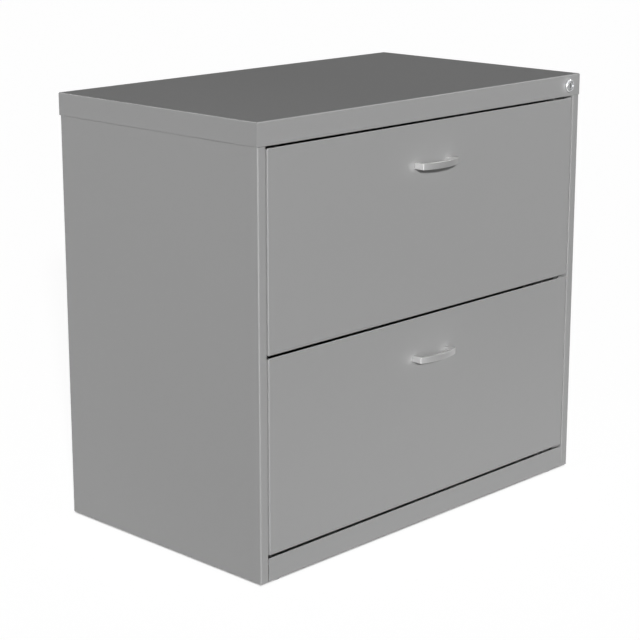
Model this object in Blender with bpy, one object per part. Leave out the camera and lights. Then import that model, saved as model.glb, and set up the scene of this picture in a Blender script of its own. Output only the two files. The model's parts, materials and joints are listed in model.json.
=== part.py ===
"""Two-drawer lateral filing cabinet, modelled as the pieces that it comes apart into.

Lengths are metres and angles degrees, +Z is up and the drawers open towards -Y.
The cabinet stands on z = 0, and the middle of its footprint, handles included, is x = y = 0.
"""

from math import atan2, cos, pi, radians, sin, tan

import bmesh
import bpy
from mathutils import Vector

# Overall sizes of the case
WIDTH = 0.762
DEPTH = 0.448                # from the drawer fronts to the back, without the handles
CASE_HEIGHT = 0.6985         # without the glides
GLIDE_SHOW = 0.00635         # how far the case stands off the floor

# Sheet metal
SHEET = 0.001                # case and drawer fronts
DRAWER_SHEET = 0.0009        # drawer boxes
HEAVY_SHEET = 0.0012         # uprights
BEND = 0.001                 # inside radius of a bend
CORNER = 0.0025              # outside radius where three bent sides meet
FIT = 0.0003                 # clearance between pieces that are welded, screwed or seated
BEND_STEPS = 3               # facets in a bend
CORNER_STEPS = 2             # facets in a tray's corner
BALL_SIDES = 6
LIP_STEPS = 6                # facets in the lip of a slide member
BOW_STEPS = 10               # facets along the handle
HOLE_SIDES = 8
SCREW_SIDES = 10
GLIDE_SIDES = 12
LOCK_SIDES = 24

# What the front shows
CAP_DROP = 0.036             # front fascia of the top panel, and its side and rear flanges
STILE = 0.0175               # face width of the case beside the drawers
JAMB = 0.020                 # how far the case turns back beside the drawers
REVEAL = 0.003               # gap above and below a drawer front
SIDE_REVEAL = 0.0025         # gap beside a drawer front
BASE_RAIL = 0.038            # height of the rail under the lower drawer
RAIL_LIP = 0.020             # upper flange of both base rails
RAIL_FOOT = 0.045            # lower flange of both base rails, which carries the glides

# Inside the case
REAR_FLANGE = 0.015
BACK_LIP = 0.012
HEADER_DEPTH = 0.022
UPRIGHT_DEPTH = 0.0211
UPRIGHT_FACE = 0.040
UPRIGHT_FLANGE = 0.012
FRONT_UPRIGHT = 0.070        # from the front of the case to the middle of the upright
REAR_UPRIGHT = 0.360
SLOT_WIDTH = 0.005
SLOT_HEIGHT = 0.014
SLOT_PITCH = 0.0508
SLOT_START = 0.060           # first slot above the bottom of the upright
BALLAST_LENGTH = 0.660
BALLAST_HEIGHT = 0.100
BALLAST_THICKNESS = 0.012

# Drawers
FRONT_DEPTH = 0.019
FRONT_LIP = 0.012
BOX_LENGTH = 0.395
BOX_HEIGHT = 0.250
BOX_LIFT = 0.010             # box above the lower edge of its front
HEM = 0.010                  # inward fold along the top of the box
HEM_DROP = 0.006
RAIL_SPACING = 0.322         # letter-size folders hang across this distance
HANG_RAIL_HEIGHT = 0.018
HANG_RAIL_THICKNESS = 0.002
HANG_RAIL_RISE = 0.004       # the rail's ears above the hems that they lie on

# Handles
HANDLE_LENGTH = 0.0847
HANDLE_HEIGHT = 0.010
HANDLE_END_REACH = 0.0185    # from the drawer front to the outside of the bar at its ends
HANDLE_BOW = 0.0085          # how much further the middle of the bar stands out
HANDLE_BAR = 0.0065
HANDLE_LEG = 0.0085
HANDLE_DROP = 0.066          # from the top of the drawer front to the middle of the handle
HANDLE_EDGE = 0.0007
SCREW_RADIUS = 0.002
SCREW_GRIP = 0.010           # screw thread inside the handle's leg
SCREW_HEAD_RADIUS = 0.004
SCREW_HEAD = 0.0026

# Ball-bearing slides; their section is 45.7 mm by 12.7 mm
SLIDE_LENGTH = 0.400
SLIDE_SETBACK = 0.024        # slide behind the front of the case
SLIDE_LIFT = 0.060           # middle of the slide above the lower edge of the drawer front
SLIDE_WIDTH = 0.0127
OUTER_SHEET = 0.0012
MIDDLE_SHEET = 0.001
INNER_SHEET = 0.0012
BALL_RADIUS = 0.00175
OUTER_BALL = (0.00325, 0.0196)    # centre of the outer balls: out of the upright, up from the middle
INNER_BALL = (0.0062, 0.01544)    # centre of the inner balls
BALL_PLAY = 0.0003
CURL_END = 30                # angle where the outer and middle members' lips stop
SLIDE_HOLE_RADIUS = 0.0022
SLIDE_HOLE_PITCH = 0.140     # three screw holes along the outer and the inner member
CAGE_LENGTH = 0.180
CAGE_START = 0.110           # cage behind the front end of the slide, drawer closed
CAGE_SHEET = 0.00062
CAGE_LIP = 0.0009            # cage strip past the middles of its balls
BALLS_PER_ROW = 4
BALL_PITCH = 0.046

# Lock
LOCK_INSET = 0.031           # lock centre from the right edge of the case
LOCK_FLANGE_RADIUS = 0.011
LOCK_FLANGE = 0.005
LOCK_BARREL_RADIUS = 0.009
LOCK_BARREL = 0.022          # barrel behind the front of the case
PLUG_RADIUS = 0.0065
PLUG_SINK = 0.0006
KEYWAY_WIDTH = 0.0016
KEYWAY_HEIGHT = 0.0084
KEYWAY_DEPTH = 0.006
NUT_RADIUS = 0.0135
NUT_THICKNESS = 0.005
CAM_SETBACK = 0.024
CAM_THICKNESS = 0.0025
CAM_HUB_RADIUS = 0.006
LOCK_LIFT = 0.010            # how far a quarter turn lifts the lock bar
PIN_RADIUS = 0.0015
PIN_REACH = 0.0065           # pin behind the cam
SLOT_PLAY = 0.0005
BAR_SETBACK = 0.029
BAR_THICKNESS = 0.002
BAR_WIDTH = 0.012
BAR_CLEAR = 0.0047           # bar to the side panel
LUG_HEIGHT = 0.008
LUG_REACH = 0.025            # lug past the outer edge of the bar
STRIKE_DROP = 0.038          # from the top of a drawer front to the underside of its lug
STRIKE_WIDTH = 0.010
STRIKE_SHEET = 0.0015
STRIKE_HOOK = 0.010          # length of the hook's tip
STRIKE_PLATE = 0.0205        # plate over the bottom of the lug
STRIKE_FOOT = 0.013
STRIKE_REACH = 0.0145        # tip behind the drawer front
STRIKE_EDGE = 0.0015         # strike from the side edge of the drawer front
GUIDE_LENGTH = 0.015
GUIDE_ARM = 0.011
GUIDE_CLEAR = 0.030          # from a guide to the underside of the nearest lug

# Glides
GLIDE_RADIUS = 0.0105
GLIDE_FOOT = 0.006
GLIDE_STEM_RADIUS = 0.004
GLIDE_STEM = 0.029
GLIDE_INSET = 0.043          # from the side of the case
GLIDE_SETBACK = 0.018        # from the front or the back of the case
WELD_NUT_RADIUS = 0.0075
WELD_NUT_HEIGHT = 0.008

# Places that follow from the sizes
FRONT = (HANDLE_END_REACH + HANDLE_BOW - DEPTH) / 2
BACK = FRONT + DEPTH
BOTTOM = GLIDE_SHOW
TOP = BOTTOM + CASE_HEIGHT
CAP_LOW = TOP - CAP_DROP
SIDE = WIDTH / 2 - SHEET - FIT               # outer face of the side panels, inside the cap
SIDE_INNER = SIDE - SHEET
JAMB_INNER = WIDTH / 2 - STILE               # inner face of the turned-back stile
RAIL_TOP = BOTTOM + BASE_RAIL
FRONT_HEIGHT = (CAP_LOW - RAIL_TOP - 3 * REVEAL) / 2
FRONT_HALF = JAMB_INNER - SIDE_REVEAL
DRAWERS = {"lower": RAIL_TOP + REVEAL, "upper": RAIL_TOP + 2 * REVEAL + FRONT_HEIGHT}
LUGS = {level: low + FRONT_HEIGHT - STRIKE_DROP for level, low in DRAWERS.items()}
UPRIGHT_X = SIDE_INNER - FIT - UPRIGHT_DEPTH
BOX_HALF = UPRIGHT_X - FIT - SLIDE_WIDTH - FIT
BOX_FRONT = FRONT + FRONT_DEPTH + FIT
BACK_INNER = BACK - SHEET - FIT - SHEET - FIT - SHEET
LOCK_X = WIDTH / 2 - LOCK_INSET
LOCK_Z = (TOP + CAP_LOW) / 2
PIN_ORBIT = LOCK_LIFT / (2 * sin(pi / 4))
BAR_OUTER = SIDE_INNER - BAR_CLEAR
GLIDE_X = WIDTH / 2 - GLIDE_INSET
GLIDE_Y = {"base_front_rail": FRONT + GLIDE_SETBACK, "base_rear_rail": BACK - GLIDE_SETBACK}
SIDES = {"left": -1, "right": 1}

# Finishes
PAINT = ("silver_grey_paint", (0.33, 0.33, 0.335), 0.42, 0.0)
ZINC = ("zinc_plated_steel", (0.62, 0.62, 0.60), 0.32, 1.0)
SATIN = ("satin_nickel", (0.60, 0.60, 0.60), 0.30, 1.0)
CHROME = ("polished_chrome", (0.80, 0.80, 0.81), 0.10, 1.0)
BRASS = ("cage_brass", (0.62, 0.48, 0.26), 0.35, 1.0)
NYLON = ("grey_glide_nylon", (0.34, 0.34, 0.34), 0.50, 0.0)
IRON = ("primed_ballast_steel", (0.10, 0.10, 0.11), 0.60, 0.0)


def clear_scene():
    """Start from an empty scene."""
    for item in list(bpy.data.objects):
        bpy.data.objects.remove(item, do_unlink=True)


def finish_material(finish, name):
    """A Principled material of its own for one piece."""
    title, colour, roughness, metallic = finish
    made = bpy.data.materials.new(title + "_" + name)
    made.use_nodes = True
    shader = made.node_tree.nodes["Principled BSDF"]
    shader.inputs["Base Color"].default_value = (*colour, 1.0)
    shader.inputs["Roughness"].default_value = roughness
    shader.inputs["Metallic"].default_value = metallic
    made.diffuse_color = (*colour, 1.0)
    return made


def pivot(name, place):
    """An empty on the joint of a moving group, which its pieces are parented to."""
    empty = bpy.data.objects.new(name, None)
    empty.empty_display_size = 0.02
    empty.location = place
    bpy.context.collection.objects.link(empty)
    return empty


def place_mesh(name, shape, parent, smooth):
    """Turn a closed shape, drawn in world coordinates, into an object on its parent's pivot."""
    bmesh.ops.recalc_face_normals(shape, faces=shape.faces)
    origin = parent.location if parent else Vector((0, 0, 0))
    bmesh.ops.translate(shape, verts=shape.verts, vec=-origin)
    mesh = bpy.data.meshes.new(name)
    shape.to_mesh(mesh)
    shape.free()
    if smooth:
        mesh.shade_smooth()
        mesh.set_sharp_from_angle(angle=radians(35))
    made = bpy.data.objects.new(name, mesh)
    made.parent = parent
    bpy.context.collection.objects.link(made)
    return made


def piece(name, shape, finish, parent=None, smooth=True):
    """One sub-part of the cabinet, with its own material."""
    made = place_mesh(name, shape, parent, smooth)
    made.data.materials.append(finish_material(finish, name))
    return made


def change(target, shape, operation="DIFFERENCE"):
    """Cut a shape out of a piece, or weld it on with operation UNION."""
    tool = place_mesh("tool_" + target.name, shape, target.parent, smooth=False)
    tool.hide_render = True
    tool.display_type = "WIRE"
    step = target.modifiers.new(operation.lower(), "BOOLEAN")
    step.operation = operation
    step.solver = "EXACT"
    step.object = tool


def arc(centre, radius, start, end, steps):
    """Points on an arc in a plane, from one angle to another."""
    turns = [radians(start + (end - start) * k / steps) for k in range(steps + 1)]
    return [(centre[0] + radius * cos(turn), centre[1] + radius * sin(turn)) for turn in turns]


def rounded(points, radius):
    """The same path with each corner turned into an arc."""
    path = [tuple(points[0])]
    for before, corner, after in zip(points, points[1:], points[2:]):
        corner = Vector(corner)
        back = (Vector(before) - corner).normalized()
        onward = (Vector(after) - corner).normalized()
        half = back.angle(onward) / 2
        centre = corner + (back + onward).normalized() * (radius / sin(half))
        first = corner + back * (radius / tan(half)) - centre
        start = atan2(first.y, first.x)
        swing = pi - 2 * half
        if back.x * onward.y - back.y * onward.x > 0:
            swing = -swing
        for k in range(BEND_STEPS + 1):
            turn = start + swing * k / BEND_STEPS
            path.append((centre.x + radius * cos(turn), centre.y + radius * sin(turn)))
    path.append(tuple(points[-1]))
    return path


def two_faces(path, thickness):
    """The two faces of a sheet whose middle runs along a path."""
    points = [Vector(point) for point in path]
    runs = [(after - before).normalized() for before, after in zip(points, points[1:])]
    left, right = [], []
    for k, point in enumerate(points):
        arriving = runs[max(k - 1, 0)]
        leaving = runs[min(k, len(runs) - 1)]
        normal = Vector((-arriving.y - leaving.y, arriving.x + leaving.x))
        normal *= thickness / 2 / (1 + arriving.dot(leaving))
        left.append(point + normal)
        right.append(point - normal)
    return left, right


def strip(path, thickness):
    """Closed outline of a sheet whose middle runs along a path."""
    left, right = two_faces(path, thickness)
    return left + right[::-1]


def bent(points, thickness):
    """Closed outline of a sheet with the usual bend at each corner."""
    return strip(rounded(points, BEND + thickness / 2), thickness)


def extruded(outline, along, start, end):
    """A closed outline drawn out along X, Y or Z."""
    lift = {
        "X": lambda a, b, c: (c, a, b),
        "Y": lambda a, b, c: (a, c, b),
        "Z": lambda a, b, c: (a, b, c),
    }[along]
    shape = bmesh.new()
    near = [shape.verts.new(lift(a, b, start)) for a, b in outline]
    far = [shape.verts.new(lift(a, b, end)) for a, b in outline]
    shape.faces.new(near)
    shape.faces.new(far[::-1])
    for k in range(len(near)):
        shape.faces.new((near[k - 1], far[k - 1], far[k], near[k]))
    return shape


def lofted(rings, closed=False):
    """Skin a row of rings; the ends are capped, or joined to each other when closed."""
    shape = bmesh.new()
    loops = [[shape.verts.new(point) for point in ring] for ring in rings]
    pairs = list(zip(loops, loops[1:]))
    if closed:
        pairs.append((loops[-1], loops[0]))
    else:
        shape.faces.new(loops[0][::-1])
        shape.faces.new(loops[-1])
    for lower, upper in pairs:
        for k in range(len(lower)):
            shape.faces.new((lower[k - 1], lower[k], upper[k], upper[k - 1]))
    return shape


def turned(profile, centre, along, sides, closed=False):
    """A profile of (radius, distance) turned about an axis along Y or Z."""
    rings = []
    for radius, distance in profile:
        ring = []
        for k in range(sides):
            a, b = radius * cos(2 * pi * k / sides), radius * sin(2 * pi * k / sides)
            offset = (a, distance, b) if along == "Y" else (a, b, distance)
            ring.append(Vector(centre) + Vector(offset))
        rings.append(ring)
    return lofted(rings, closed)


def box(low, high):
    """A plain block between two corners."""
    outline = [(low[0], low[1]), (high[0], low[1]), (high[0], high[1]), (low[0], high[1])]
    return extruded(outline, "Z", low[2], high[2])


def joined(shapes):
    """Several separate shapes as one, for a cut in many places."""
    whole = bmesh.new()
    for shape in shapes:
        mesh = bpy.data.meshes.new("step")
        shape.to_mesh(mesh)
        shape.free()
        whole.from_mesh(mesh)
        bpy.data.meshes.remove(mesh)
    return whole


def pan(low, high, depth_axis, path, thickness):
    """A folded tray with rounded corners.

    low and high are its outer corners across the two other axes, and path runs along the middle
    of the sheet, from the face to the rim, as (distance in from the side, depth from the face).
    depth_axis is +Y, +Z or -Z, the way from the face to the rim, and path holds world depths.
    """
    middle = [(low[k] + high[k]) / 2 for k in (0, 1)]
    half = [(high[k] - low[k]) / 2 for k in (0, 1)]
    outside, inside = two_faces(path, thickness)
    rings = []
    for inset, depth in outside + inside[::-1]:
        radius = max(CORNER - max(inset, 0), CORNER / 5)
        ring = []
        for corner in range(4):
            turn = corner * 90
            a = middle[0] + (half[0] - inset - radius) * (1 if corner in (0, 3) else -1)
            b = middle[1] + (half[1] - inset - radius) * (1 if corner in (0, 1) else -1)
            for p, q in arc((a, b), radius, turn, turn + 90, CORNER_STEPS):
                ring.append((p, depth, q) if depth_axis == "+Y" else (p, q, depth))
        rings.append(ring)
    return lofted(rings)


def folded(points, thickness):
    """A tray's section, with the usual bends."""
    return rounded(points, BEND + thickness / 2)


def hexagon(centre, radius):
    """Corner points of a nut."""
    return arc(centre, radius, 0, 300, 5)


def top_panel():
    """The cap: its flange laps over the side panels and forms the fascia in front."""
    half_sheet = SHEET / 2
    path = folded([(3 * CORNER, TOP - half_sheet), (half_sheet, TOP - half_sheet),
                   (half_sheet, CAP_LOW)], SHEET)
    shape = pan((-WIDTH / 2, FRONT), (WIDTH / 2, BACK), "-Z", path, SHEET)
    cap = piece("top_panel", shape, PAINT)
    change(cap, lock_hole())


def lock_hole():
    """Clearance for the lock barrel through the fascia and the header rail."""
    radius = LOCK_BARREL_RADIUS + FIT
    profile = [(radius, FRONT - SHEET), (radius, FRONT + 4 * SHEET)]
    return turned(profile, (LOCK_X, 0, LOCK_Z), "Y", LOCK_SIDES)


def side_panel(name, side):
    """A side wrapper: stile and jamb in front, web, rear flange behind."""
    half_sheet = SHEET / 2
    front, rear = FRONT + half_sheet, BACK - SHEET - FIT - half_sheet
    jamb, web = side * (JAMB_INNER + half_sheet), side * (SIDE - half_sheet)
    plan = [(jamb, FRONT + JAMB), (jamb, front), (web, front), (web, rear),
            (side * (SIDE - REAR_FLANGE), rear)]
    shape = extruded(bent(plan, SHEET), "Z", BOTTOM, TOP - SHEET - BEND)
    panel = piece(name + "_side_panel", shape, PAINT)
    clear = FRONT + SHEET + 3 * BEND
    notch = [(side * (JAMB_INNER - SHEET), FRONT - SHEET), (side * (SIDE + SHEET), FRONT - SHEET),
             (side * (SIDE + SHEET), clear), (side * (SIDE_INNER - FIT), clear),
             (side * (SIDE_INNER - FIT), FRONT + JAMB + SHEET),
             (side * (JAMB_INNER - SHEET), FRONT + JAMB + SHEET)]
    change(panel, extruded(notch, "Z", CAP_LOW - FIT, TOP))


def back_panel():
    """The back: one sheet inside the rear flanges, with a lip along its top."""
    half_sheet = SHEET / 2
    middle, high = BACK_INNER + half_sheet, TOP - SHEET - FIT - half_sheet
    section = [(middle - BACK_LIP, high), (middle, high), (middle, BOTTOM)]
    half = SIDE_INNER - BEND
    piece("back_panel", extruded(bent(section, SHEET), "X", -half, half), PAINT)


def header_rail():
    """The channel behind the fascia, between the side panels."""
    half_sheet = SHEET / 2
    web = FRONT + SHEET + FIT + half_sheet
    rim = web + HEADER_DEPTH - half_sheet
    low, high = CAP_LOW + half_sheet, TOP - SHEET - FIT - half_sheet
    section = [(rim, high), (web, high), (web, low), (rim, low)]
    half = SIDE_INNER - FIT
    rail = piece("header_rail", extruded(bent(section, SHEET), "X", -half, half), PAINT)
    change(rail, lock_hole())


def base_rail(name, web, inward, half):
    """A base channel; its lower flange holds two welded nuts for the glides."""
    half_sheet = SHEET / 2
    face = web + inward * half_sheet
    section = [(web + inward * RAIL_LIP, RAIL_TOP - half_sheet), (face, RAIL_TOP - half_sheet),
               (face, BOTTOM + half_sheet), (web + inward * RAIL_FOOT, BOTTOM + half_sheet)]
    rail = piece(name, extruded(bent(section, SHEET), "X", -half, half), PAINT)
    places = [(side * GLIDE_X, GLIDE_Y[name]) for side in (-1, 1)]
    nut_low = BOTTOM + half_sheet
    nut_high = BOTTOM + SHEET + WELD_NUT_HEIGHT
    nuts = [extruded(hexagon(place, WELD_NUT_RADIUS), "Z", nut_low, nut_high) for place in places]
    change(rail, joined(nuts), "UNION")
    bore = GLIDE_STEM_RADIUS + FIT
    holes = [turned([(bore, BOTTOM - SHEET), (bore, nut_high + SHEET)], (x, y, 0), "Z", GLIDE_SIDES)
             for x, y in places]
    change(rail, joined(holes))


def upright(name, side, middle):
    """A slotted hat channel on the side panel, which carries the slides."""
    half_sheet = HEAVY_SHEET / 2
    wall, face = side * (SIDE_INNER - FIT - half_sheet), side * (UPRIGHT_X + half_sheet)
    near, far = middle - UPRIGHT_FACE / 2, middle + UPRIGHT_FACE / 2
    plan = [(wall, near - UPRIGHT_FLANGE), (wall, near), (face, near), (face, far), (wall, far),
            (wall, far + UPRIGHT_FLANGE)]
    low, high = BOTTOM + SHEET + FIT, TOP - SHEET - FIT
    post = piece(name, extruded(bent(plan, HEAVY_SHEET), "Z", low, high), ZINC)
    count = int((high - low - SLOT_START) / SLOT_PITCH)
    reach = sorted((side * (UPRIGHT_X - SHEET), side * (UPRIGHT_X + HEAVY_SHEET + SHEET)))
    slots = []
    for k in range(count):
        height = low + SLOT_START + k * SLOT_PITCH
        slots.append(box((reach[0], middle - SLOT_WIDTH / 2, height - SLOT_HEIGHT / 2),
                         (reach[1], middle + SLOT_WIDTH / 2, height + SLOT_HEIGHT / 2)))
    change(post, joined(slots))


def counterweight():
    """Ballast that stands on the rear base rail, so that an open drawer doesn't tip the case."""
    rear = BACK_INNER - FIT
    low = RAIL_TOP + FIT
    shape = box((-BALLAST_LENGTH / 2, rear - BALLAST_THICKNESS, low),
                (BALLAST_LENGTH / 2, rear, low + BALLAST_HEIGHT))
    piece("counterweight", shape, IRON, smooth=False)


def glide(name, x, y):
    """A levelling glide: a round foot on a threaded stem."""
    stand = pivot(name + "_pivot", (x, y, 0))
    edge = GLIDE_RADIUS / 8
    profile = [(GLIDE_RADIUS - edge, 0), (GLIDE_RADIUS, edge), (GLIDE_RADIUS, GLIDE_FOOT / 2),
               (GLIDE_RADIUS - 2 * edge, GLIDE_FOOT), (GLIDE_STEM_RADIUS, GLIDE_FOOT),
               (GLIDE_STEM_RADIUS, GLIDE_FOOT + GLIDE_STEM - edge / 2),
               (GLIDE_STEM_RADIUS - edge / 2, GLIDE_FOOT + GLIDE_STEM)]
    piece(name, turned(profile, (x, y, 0), "Z", GLIDE_SIDES), NYLON, stand)


def slide_x(side, out):
    """World x of a point of the slide's section that is out from the upright."""
    return side * (UPRIGHT_X - FIT - out)


def slide_piece(name, side, height, path, thickness, finish, parent=None):
    """One full-length member of a slide, from the middle line of its section."""
    outline = [(slide_x(side, u), height + v) for u, v in strip(path, thickness)]
    near = FRONT + SLIDE_SETBACK
    return piece(name, extruded(outline, "Y", near, near + SLIDE_LENGTH), finish, parent)


def slide_holes(member, side, height, out, sheet):
    """Three screw holes through the web of a slide member."""
    middle = FRONT + SLIDE_SETBACK + SLIDE_LENGTH / 2
    ends = (slide_x(side, out - sheet), slide_x(side, out + 2 * sheet))
    holes = []
    for k in (-1, 0, 1):
        centre = (middle + k * SLIDE_HOLE_PITCH, height)
        last = 360 - 360 / HOLE_SIDES
        outline = arc(centre, SLIDE_HOLE_RADIUS, 0, last, HOLE_SIDES - 1)
        holes.append(extruded(outline, "X", *ends))
    change(member, joined(holes))


def mirrored(upper):
    """A path over the upper half of the slide's section, continued over the lower half."""
    return upper + [(u, -v) for u, v in reversed(upper)]


def outer_member(name, side, height):
    """The member on the upright; its lips curl round the outer balls."""
    radius = BALL_RADIUS + BALL_PLAY + OUTER_SHEET / 2
    lip = arc(OUTER_BALL, radius, CURL_END, 180, LIP_STEPS)
    member = slide_piece(name, side, height, mirrored(lip), OUTER_SHEET, ZINC)
    slide_holes(member, side, height, 0, OUTER_SHEET)


def middle_member(name, side, height, parent):
    """The member between; it runs on the outer balls and its lips curl round the inner ones."""
    radius = BALL_RADIUS + BALL_PLAY + MIDDLE_SHEET / 2
    lip = arc(INNER_BALL, radius, CURL_END, 180, LIP_STEPS)
    slide_piece(name, side, height, mirrored(lip), MIDDLE_SHEET, ZINC, parent)


def inner_member(name, side, height, parent):
    """The member on the drawer; its edges turn in over the web and cradle the inner balls."""
    radius = BALL_RADIUS + BALL_PLAY + INNER_SHEET / 2
    cradle = arc(INNER_BALL, radius, 270, 327, 4)
    web = SLIDE_WIDTH - INNER_SHEET / 2
    lip = cradle + [(web, cradle[-1][1])]
    member = slide_piece(name, side, height, mirrored(lip), INNER_SHEET, ZINC, parent)
    slide_holes(member, side, height, SLIDE_WIDTH - INNER_SHEET, INNER_SHEET)


def ball_cage(name, side, height, ball, strip_out, parent):
    """A cage strip with its two rows of balls."""
    near = FRONT + SLIDE_SETBACK + CAGE_START
    reach = ball[1] + CAGE_LIP
    xs = sorted((slide_x(side, strip_out), slide_x(side, strip_out + CAGE_SHEET)))
    shape = box((xs[0], near, height - reach), (xs[1], near + CAGE_LENGTH, height + reach))
    cage = piece(name, shape, BRASS, parent)
    first = near + (CAGE_LENGTH - (BALLS_PER_ROW - 1) * BALL_PITCH) / 2
    balls = []
    for row in (-1, 1):
        for k in range(BALLS_PER_ROW):
            centre = (slide_x(side, ball[0]), first + k * BALL_PITCH, height + row * ball[1])
            rings = [(BALL_RADIUS * sin(radians(turn)), -BALL_RADIUS * cos(radians(turn)))
                     for turn in (30, 90, 150)]
            balls.append(turned(rings, centre, "Z", BALL_SIDES))
    change(cage, joined(balls), "UNION")


def slide(name, side, height, drawer_pivot):
    """One ball-bearing slide: three members and two ball cages."""
    near = FRONT + SLIDE_SETBACK
    centre = (slide_x(side, SLIDE_WIDTH / 2), near, height)
    outer_member(name + "_slide_outer", side, height)
    middle_member(name + "_slide_middle", side, height, pivot(name + "_middle_pivot", centre))
    inner_member(name + "_slide_inner", side, height, drawer_pivot)
    middle_face = INNER_BALL[0] - BALL_RADIUS - BALL_PLAY - MIDDLE_SHEET
    outer_strip = (OUTER_SHEET + middle_face - CAGE_SHEET) / 2
    inner_strip = INNER_BALL[0] - BALL_RADIUS + BALL_PLAY
    ball_cage(name + "_outer_ball_cage", side, height, OUTER_BALL, outer_strip,
              pivot(name + "_outer_cage_pivot", centre))
    ball_cage(name + "_inner_ball_cage", side, height, INNER_BALL, inner_strip,
              pivot(name + "_inner_cage_pivot", centre))


def drawer_front(level, low, parent):
    """The front: a folded pan with turned-in lips, and holes for the handle's screws."""
    half_sheet = SHEET / 2
    rear = FRONT + FRONT_DEPTH - half_sheet
    path = folded([(3 * CORNER, FRONT + half_sheet), (half_sheet, FRONT + half_sheet),
                   (half_sheet, rear), (FRONT_LIP, rear)], SHEET)
    shape = pan((-FRONT_HALF, low), (FRONT_HALF, low + FRONT_HEIGHT), "+Y", path, SHEET)
    front = piece(level + "_drawer_front", shape, PAINT, parent)
    height = low + FRONT_HEIGHT - HANDLE_DROP
    change(front, screw_holes(height, FRONT - SHEET, FRONT + 3 * SHEET))


def drawer_body(level, low, parent):
    """The drawer box, folded up from one sheet, with hems round its open top."""
    half_sheet = DRAWER_SHEET / 2
    base = low + BOX_LIFT
    rim = base + BOX_HEIGHT
    path = folded([(3 * CORNER, base + half_sheet), (half_sheet, base + half_sheet),
                   (half_sheet, rim - half_sheet), (HEM - half_sheet, rim - half_sheet),
                   (HEM - half_sheet, rim - HEM_DROP)], DRAWER_SHEET)
    shape = pan((-BOX_HALF, BOX_FRONT), (BOX_HALF, BOX_FRONT + BOX_LENGTH), "+Z", path,
                DRAWER_SHEET)
    piece(level + "_drawer_body", shape, PAINT, parent)


def hang_rail(name, near, low, parent):
    """A bar across the drawer for hanging folders; its ears lie on the side hems."""
    rim = low + BOX_LIFT + BOX_HEIGHT
    half, ear = BOX_HALF - HEM - FIT, BOX_HALF - FIT
    base, seat, high = rim - HANG_RAIL_HEIGHT + HANG_RAIL_RISE, rim + FIT, rim + HANG_RAIL_RISE
    outline = [(-half, base), (half, base), (half, seat), (ear, seat), (ear, high), (-ear, high),
               (-ear, seat), (-half, seat)]
    piece(name, extruded(outline, "Y", near, near + HANG_RAIL_THICKNESS), ZINC, parent)


def screw_places():
    """x of the two handle screws."""
    reach = (HANDLE_LENGTH - HANDLE_LEG) / 2
    return {"left": -reach, "right": reach}


def screw_holes(height, near, far):
    """Clearance holes for the handle's screws."""
    radius = SCREW_RADIUS + FIT
    return joined([turned([(radius, near), (radius, far)], (x, 0, height), "Y", SCREW_SIDES)
                   for x in screw_places().values()])


def handle(level, low, parent):
    """The bowed pull: two legs and a bar that arches outwards, cast in one piece."""
    height = low + FRONT_HEIGHT - HANDLE_DROP
    half, foot = HANDLE_LENGTH / 2, FRONT - FIT
    ends, inner_half = FRONT - HANDLE_END_REACH, HANDLE_LENGTH / 2 - HANDLE_LEG
    outer = bow(half, ends, HANDLE_BOW)
    inner = bow(inner_half, ends + HANDLE_BAR, HANDLE_BOW * (inner_half / half) ** 2)
    outline = [(-half, foot)] + outer + [(half, foot), (inner_half, foot)] + inner[::-1]
    outline.append((-inner_half, foot))
    low_face, high_face = height - HANDLE_HEIGHT / 2, height + HANDLE_HEIGHT / 2
    shape = extruded(outline, "Z", low_face, high_face)
    pull = piece(level + "_handle", shape, SATIN, parent)
    edge = pull.modifiers.new("edge", "BEVEL")
    edge.width = HANDLE_EDGE
    edge.segments = 2
    edge.limit_method = "ANGLE"
    edge.angle_limit = radians(40)
    change(pull, screw_holes(height, FRONT - SCREW_GRIP - 2 * FIT, FRONT + SHEET))
    for name, x in screw_places().items():
        handle_screw(level + "_" + name + "_handle_screw", x, height, parent)


def bow(half, ends, rise):
    """Points of a flat arc from -half to half that stands out by rise in the middle."""
    radius = (half ** 2 + rise ** 2) / (2 * rise)
    swing = 2 * atan2(rise, half) * 180 / pi
    return arc((0, ends - rise + radius), radius, 270 - swing, 270 + swing, BOW_STEPS)


def handle_screw(name, x, height, parent):
    """A pan-head screw from inside the drawer front into the handle's leg."""
    seat = FRONT + SHEET + FIT
    profile = [(SCREW_RADIUS, FRONT - SCREW_GRIP), (SCREW_RADIUS, seat), (SCREW_HEAD_RADIUS, seat),
               (SCREW_HEAD_RADIUS, seat + SCREW_HEAD / 2),
               (SCREW_HEAD_RADIUS * 0.7, seat + SCREW_HEAD)]
    piece(name, turned(profile, (x, 0, height), "Y", SCREW_SIDES), ZINC, parent)


def strike(level, parent):
    """The hook behind the drawer front that the lock bar's lug rises into."""
    half_sheet = STRIKE_SHEET / 2
    seat = BOX_FRONT + half_sheet
    tip = FRONT + FRONT_DEPTH + STRIKE_REACH - half_sheet
    plate = LUGS[level] + STRIKE_PLATE + half_sheet
    section = [(seat, plate + STRIKE_FOOT), (seat, plate), (tip, plate),
               (tip, plate - STRIKE_HOOK)]
    far = FRONT_HALF - STRIKE_EDGE
    shape = extruded(bent(section, STRIKE_SHEET), "X", far - STRIKE_WIDTH, far)
    piece(level + "_strike", shape, ZINC, parent)


def drawer(level, low):
    """A whole drawer with its slides; the pivot is the middle of the front's lower edge."""
    runner = pivot(level + "_drawer_pivot", (0, FRONT, low))
    drawer_front(level, low, runner)
    drawer_body(level, low, runner)
    handle(level, low, runner)
    strike(level, runner)
    first = BOX_FRONT + HEM + FIT
    hang_rail(level + "_front_hang_rail", first, low, runner)
    hang_rail(level + "_rear_hang_rail", first + RAIL_SPACING, low, runner)
    for name, side in SIDES.items():
        slide(level + "_" + name, side, low + SLIDE_LIFT, runner)


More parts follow.
